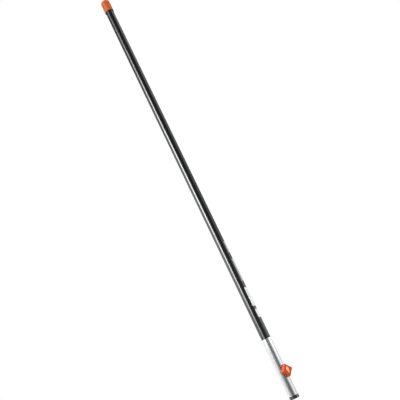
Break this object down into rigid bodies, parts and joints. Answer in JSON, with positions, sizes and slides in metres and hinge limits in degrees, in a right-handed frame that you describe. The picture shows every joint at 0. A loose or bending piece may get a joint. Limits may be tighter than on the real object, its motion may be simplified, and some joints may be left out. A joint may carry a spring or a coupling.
{
  "type": "extension pole",
  "caption": "Fixed-length tubular handle pole with a gripping sleeve, a crowned end cap and a round socket that a four-cornered clamp knob locks onto a tool's tang.",
  "frame": {"origin": "centre of the tool socket's mouth, in the plane of the end ring's lower face", "axes": "+Z along the pole from the socket's mouth to the end cap; the clamp screw's axis is level and points along -Y"},
  "size_m": [0.0336, 0.0415, 1.3],
  "materials": {
    "bare_tube": "drawn, satin, fine lengthwise lines",
    "grip_sleeve": "smooth black sleeve with a soft sheen",
    "orange_cap": "moulded, satin",
    "orange_knob": "moulded, semi-gloss",
    "black_plastic": "moulded, fine texture",
    "liner_plastic": "moulded, slippery",
    "plated_steel": "zinc plated",
    "spring_steel": "dark",
    "pad_plastic": "natural nylon"
  },
  "bodies": {
    "pole": {"tube": "bare_tube", "grip_sleeve": "grip_sleeve", "end_cap": "orange_cap", "end_plug": "black_plastic", "mouth_collar": "black_plastic", "socket_liner": "liner_plastic", "depth_stop": "black_plastic", "stop_pin": "spring_steel", "clamp_bush": "plated_steel", "saddle_washer": "black_plastic", "bush_nut": "plated_steel"},
    "pad": {"pressure_pad": "pad_plastic"},
    "screw": {"clamp_screw": "plated_steel", "knob": "orange_knob", "knob_cover": "orange_knob"}
  },
  "joints": [
    {"name": "screw_feed", "type": "slide", "parent": "pole", "child": "pad", "axis": [0, -1, 0], "range_m": [-0.0015, 0.0007]},
    {"name": "screw_turn", "type": "hinge", "parent": "pad", "child": "screw", "pos_m": [0, -0.012, 0.069], "axis": [0, -1, 0], "range_deg": [-432.1, 201.7]}
  ],
  "couplings": [
    {"joint": "screw_turn", "follows": "screw_feed", "rad_per_m": 5026.5}
  ]
}
